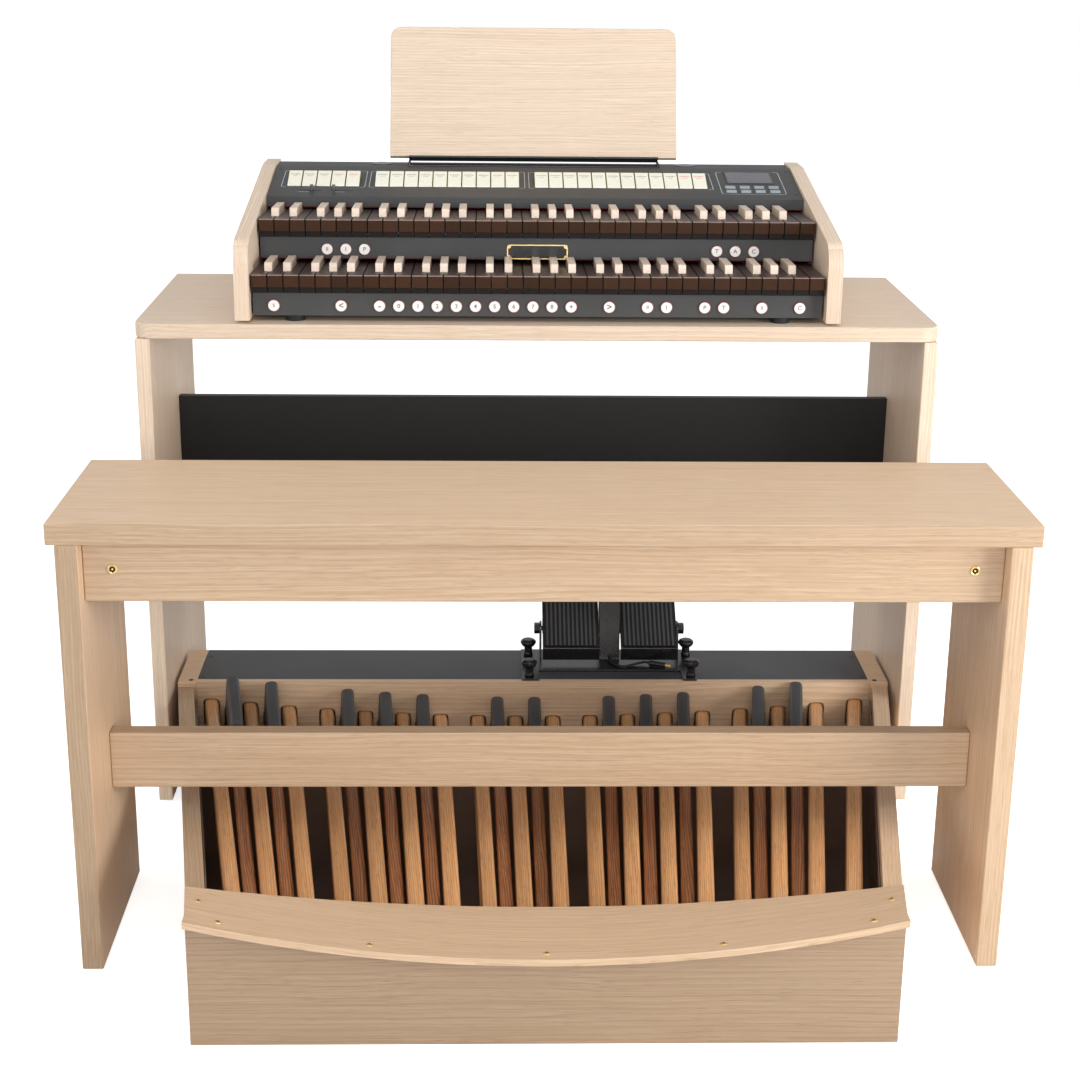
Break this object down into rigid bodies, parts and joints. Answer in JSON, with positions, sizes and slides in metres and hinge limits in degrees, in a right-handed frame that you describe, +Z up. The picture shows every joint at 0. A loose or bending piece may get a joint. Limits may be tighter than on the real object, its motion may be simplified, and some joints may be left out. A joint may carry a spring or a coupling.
{
  "type": "portable organ",
  "caption": "Two-manual table-top organ console with music desk on an oak stand, with a bench, a concave radiating pedalboard and two expression pedals.",
  "frame": {"origin": "on the floor, at the centre of the whole set's plan: the stand, bench, pedalboard and console together", "axes": "+Z up, +Y away from the player from the bench towards the music desk, +X to the player's right"},
  "size_m": [1.246, 1.2917, 1.1675],
  "materials": {
    "oak": "satin laminate, pale straight grain",
    "black_laminate": "matt black laminate with a faint weave",
    "charcoal_steel": "fine textured charcoal powder coat",
    "grey_steel": "dark grey semi-matt paint",
    "key_wood": "dark close-grained wood with a paler nosing",
    "maple": "pale satin wood",
    "ivory_plastic": "satin ivory",
    "white_plastic": "satin white",
    "black_plastic": "satin black",
    "grey_plastic": "matt pale grey",
    "screen": "clear window over a dark screen",
    "brass": "polished edge round a black plate",
    "bright_steel": "bright zinc plate",
    "rubber": "ribbed black rubber",
    "pedal_wood": "clear lacquered warm hardwood",
    "pedal_dark_wood": "lacquered brown hardwood under black caps",
    "circuit": "green circuit board"
  },
  "bodies": {
    "frame": {"bench_front_apron": "oak", "bench_leg_left": "oak", "bench_leg_right": "oak", "bench_rear_apron": "oak", "bench_seat": "oak", "bench_stretcher": "oak", "cheek_left": "oak", "cheek_right": "oak", "clamp_knob_back_left": "black_plastic", "clamp_knob_back_right": "black_plastic", "clamp_knob_front_left": "black_plastic", "clamp_knob_front_right": "black_plastic", "control_panel": "charcoal_steel", "desk_board": "oak", "desk_bracket": "black_plastic", "display_screen": "screen", "expression_bracket": "black_plastic", "floor_panel": "grey_steel", "floor_tray": "charcoal_steel", "heel_board": "oak", "heel_cap": "oak", "heel_rail": "oak", "jack_plug": "black_plastic", "key_frame_lower": "bright_steel", "key_frame_upper": "bright_steel", "lower_rail": "charcoal_steel", "main_board": "circuit", "middle_rail": "charcoal_steel", "modesty_panel": "black_laminate", "nameplate": "brass", "rear_panel": "charcoal_steel", "rear_sockets": "black_plastic", "side_rail_left": "oak", "side_rail_right": "oak", "signal_lead": "rubber", "stand_leg_left": "oak", "stand_leg_right": "oak", "stand_top": "oak", "tab_rod": "bright_steel", "toe_board": "oak", "toe_box_case": "oak", "toe_box_plate": "grey_steel"},
    "lower_naturals": {"lower_naturals": "key_wood"},
    "lower_sharps": {"lower_sharps": "maple"},
    "upper_naturals": {"upper_naturals": "key_wood"},
    "upper_sharps": {"upper_sharps": "maple"},
    "pedal_naturals": {"pedal_naturals": "pedal_wood"},
    "pedal_sharps": {"pedal_sharps": "pedal_dark_wood"},
    "tabs_left": {"tabs_left": "ivory_plastic"},
    "tabs_middle": {"tabs_middle": "ivory_plastic"},
    "tabs_right": {"tabs_right": "ivory_plastic"},
    "pistons_lower": {"pistons_lower": "white_plastic"},
    "pistons_middle": {"pistons_middle": "white_plastic"},
    "display_buttons": {"display_buttons": "grey_plastic"},
    "slider_left": {"slider_left": "black_plastic"},
    "slider_right": {"slider_right": "black_plastic"},
    "expression_pedal_left": {"treadle_left": "black_plastic", "treadle_pad_left": "rubber"},
    "expression_pedal_right": {"treadle_right": "black_plastic", "treadle_pad_right": "rubber"}
  },
  "joints": [
    {"name": "lower_naturals_press", "type": "hinge", "parent": "frame", "child": "lower_naturals", "pos_m": [0, 0.29128, 0.81885], "axis": [1, 0, 0], "range_deg": [0, 2.75], "stiffness_Nm_per_rad": 15, "springref_deg": -17.19},
    {"name": "lower_sharps_press", "type": "hinge", "parent": "frame", "child": "lower_sharps", "pos_m": [0, 0.29128, 0.81885], "axis": [1, 0, 0], "range_deg": [0, 2.75], "stiffness_Nm_per_rad": 15, "springref_deg": -17.19},
    {"name": "upper_naturals_press", "type": "hinge", "parent": "frame", "child": "upper_naturals", "pos_m": [0, 0.40728, 0.88336], "axis": [1, 0, 0], "range_deg": [0, 2.75], "stiffness_Nm_per_rad": 15, "springref_deg": -17.19},
    {"name": "upper_sharps_press", "type": "hinge", "parent": "frame", "child": "upper_sharps", "pos_m": [0, 0.40728, 0.88336], "axis": [1, 0, 0], "range_deg": [0, 2.75], "stiffness_Nm_per_rad": 15, "springref_deg": -17.19},
    {"name": "pedal_naturals_press", "type": "hinge", "parent": "frame", "child": "pedal_naturals", "pos_m": [0, -0.57003, 0.077], "axis": [1, 0, 0], "range_deg": [-1, 0], "stiffness_Nm_per_rad": 200, "springref_deg": 17.19},
    {"name": "pedal_sharps_press", "type": "hinge", "parent": "frame", "child": "pedal_sharps", "pos_m": [0, -0.57003, 0.077], "axis": [1, 0, 0], "range_deg": [-1, 0], "stiffness_Nm_per_rad": 200, "springref_deg": 17.19},
    {"name": "tabs_left_rock", "type": "hinge", "parent": "frame", "child": "tabs_left", "pos_m": [0, 0.42298, 0.92881], "axis": [1, 0, 0], "range_deg": [-6, 0]},
    {"name": "tabs_middle_rock", "type": "hinge", "parent": "frame", "child": "tabs_middle", "pos_m": [0, 0.42298, 0.92881], "axis": [1, 0, 0], "range_deg": [-6, 0]},
    {"name": "tabs_right_rock", "type": "hinge", "parent": "frame", "child": "tabs_right", "pos_m": [0, 0.42298, 0.92881], "axis": [1, 0, 0], "range_deg": [-6, 0]},
    {"name": "pistons_lower_push", "type": "slide", "parent": "frame", "child": "pistons_lower", "axis": [0, 1, 0], "range_m": [0, 0.0015], "stiffness_N_per_m": 400, "springref_m": -0.002},
    {"name": "pistons_middle_push", "type": "slide", "parent": "frame", "child": "pistons_middle", "axis": [0, 1, 0], "range_m": [0, 0.0015], "stiffness_N_per_m": 400, "springref_m": -0.002},
    {"name": "display_buttons_push", "type": "slide", "parent": "frame", "child": "display_buttons", "axis": [0, 0.1693, -0.9856], "range_m": [0, 0.001], "stiffness_N_per_m": 500, "springref_m": -0.001},
    {"name": "slider_left_slide", "type": "slide", "parent": "frame", "child": "slider_left", "axis": [1, 0, 0], "range_m": [-0.0187, 0.0113]},
    {"name": "slider_right_slide", "type": "slide", "parent": "frame", "child": "slider_right", "axis": [1, 0, 0], "range_m": [-0.0015, 0.0285]},
    {"name": "expression_pedal_left_tilt", "type": "hinge", "parent": "frame", "child": "expression_pedal_left", "pos_m": [0.0612, 0.25697, 0.229], "axis": [1, 0, 0], "range_deg": [-25, 0]},
    {"name": "expression_pedal_right_tilt", "type": "hinge", "parent": "frame", "child": "expression_pedal_right", "pos_m": [0.1885, 0.25697, 0.229], "axis": [1, 0, 0], "range_deg": [-25, 0]}
  ]
}
